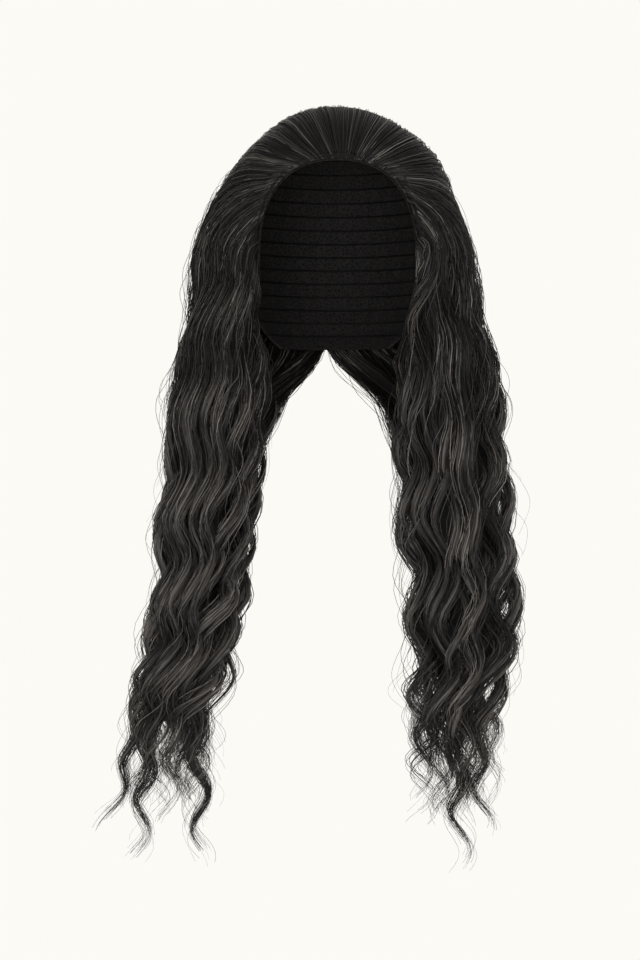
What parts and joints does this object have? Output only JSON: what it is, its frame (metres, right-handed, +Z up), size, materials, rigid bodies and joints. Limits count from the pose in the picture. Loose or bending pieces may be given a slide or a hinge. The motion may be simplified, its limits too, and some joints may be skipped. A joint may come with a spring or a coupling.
{
  "type": "long curly wig",
  "caption": "Long dark wavy wig: hair combed back from a welted hairline over a fitted cap, falling forward in two curled falls.",
  "frame": {"origin": "top of the wearer's head, on the inner face of the cap's crown", "axes": "+Z up, -Y towards the wearer's face, +X to the right as seen from the front"},
  "size_m": [0.3324, 0.2518, 0.5957],
  "materials": {
    "hair": "charcoal synthetic hair fibre, satin, with grey lights",
    "cap": "dark stretch net with sewn rows of weft",
    "welt": "narrow knotted welt of the same dark fibre"
  },
  "bodies": {
    "root": {"cap": "cap", "front_band": "welt", "front_left_hair": "hair", "front_right_hair": "hair", "back_left_hair": "hair", "back_right_hair": "hair"}
  },
  "joints": []
}
